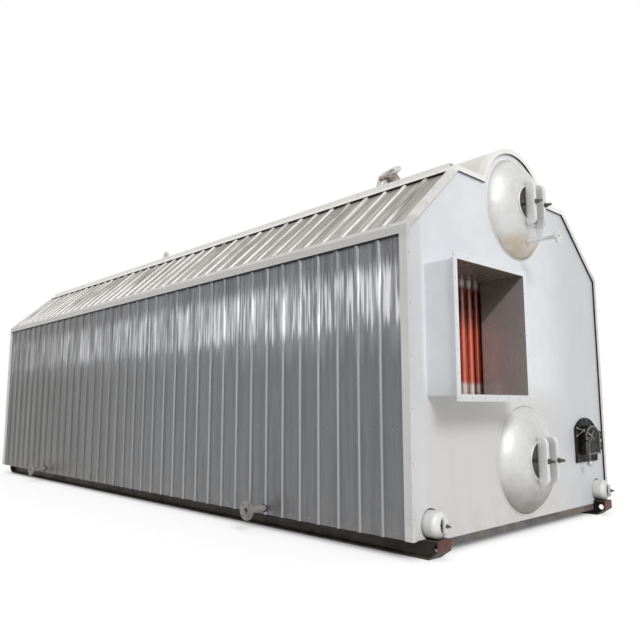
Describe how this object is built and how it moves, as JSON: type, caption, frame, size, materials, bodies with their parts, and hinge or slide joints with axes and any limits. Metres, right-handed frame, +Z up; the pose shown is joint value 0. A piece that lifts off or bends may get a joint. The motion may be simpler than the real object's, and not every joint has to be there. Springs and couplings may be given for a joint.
{
  "type": "industrial boiler",
  "caption": "Packaged water-tube boiler block: ribbed insulated casing on skid runners, lagged steam drum, dished drum heads with manholes, flue outlet and hinged fire door.",
  "frame": {"origin": "on the ground under the middle of the casing", "axes": "+Z up, +Y along the casing to the rear, the end with the flue and fire door faces -Y"},
  "size_m": [3.58, 9.362, 3.5898],
  "materials": {
    "wall_sheet": "bright ribbed sheet, softly wavy",
    "roof_sheet": "satin ribbed sheet",
    "end_panel": "satin light grey",
    "trim": "satin off-white flashing",
    "lagging_sheet": "satin sheet",
    "drum_silver": "silver paint",
    "bare_steel": "dull mill steel",
    "red_primer": "matt red oxide primer",
    "nozzle_paint": "off-white over primer",
    "cast_black": "gloss black paint on casting",
    "runner_paint": "dark brown paint, dusty",
    "sill_paint": "matt grey"
  },
  "bodies": {
    "boiler": {"runner_left": "runner_paint", "runner_right": "runner_paint", "front_cross_beam": "sill_paint", "rear_cross_beam": "sill_paint", "left_wall": "wall_sheet", "right_wall": "wall_sheet", "left_roof": "roof_sheet", "right_roof": "roof_sheet", "left_top": "roof_sheet", "right_top": "roof_sheet", "drum_lagging": "lagging_sheet", "front_wall_lower": "end_panel", "front_wall_upper": "end_panel", "rear_wall": "end_panel", "front_flashing": "trim", "rear_flashing": "trim", "left_eave_flashing": "trim", "right_eave_flashing": "trim", "left_ridge_flashing": "trim", "right_ridge_flashing": "trim", "upper_drum_shell": "bare_steel", "upper_front_head": "drum_silver", "upper_rear_head": "drum_silver", "lower_drum_shell": "bare_steel", "lower_front_head": "drum_silver", "lower_rear_head": "bare_steel", "upper_front_cover": "bare_steel", "upper_rear_cover": "bare_steel", "lower_cover": "bare_steel", "upper_front_yokes": "drum_silver", "upper_rear_yokes": "drum_silver", "lower_yokes": "drum_silver", "left_header": "drum_silver", "right_header": "drum_silver", "hand_hole_covers": "bare_steel", "hand_hole_yokes": "drum_silver", "left_tubes": "red_primer", "right_tubes": "red_primer", "flue_duct": "end_panel", "flue_flange": "end_panel", "steam_nozzle": "nozzle_paint", "front_head_nozzle": "drum_silver", "rear_head_nozzle": "drum_silver", "left_drains": "nozzle_paint", "right_drains": "nozzle_paint", "lifting_lugs": "nozzle_paint", "door_frame": "cast_black"},
    "fire_door": {"door_leaf": "cast_black"},
    "latch": {"latch_lever": "bare_steel"}
  },
  "joints": [
    {"name": "fire_door_hinge", "type": "hinge", "parent": "boiler", "child": "fire_door", "pos_m": [1.373, -4.337, 0.7], "axis": [0, 0, 1], "range_deg": [0, 110]},
    {"name": "latch_pivot", "type": "hinge", "parent": "fire_door", "child": "latch", "pos_m": [1.043, -4.374, 0.756], "axis": [0, 1, 0], "range_deg": [0, 35]}
  ]
}
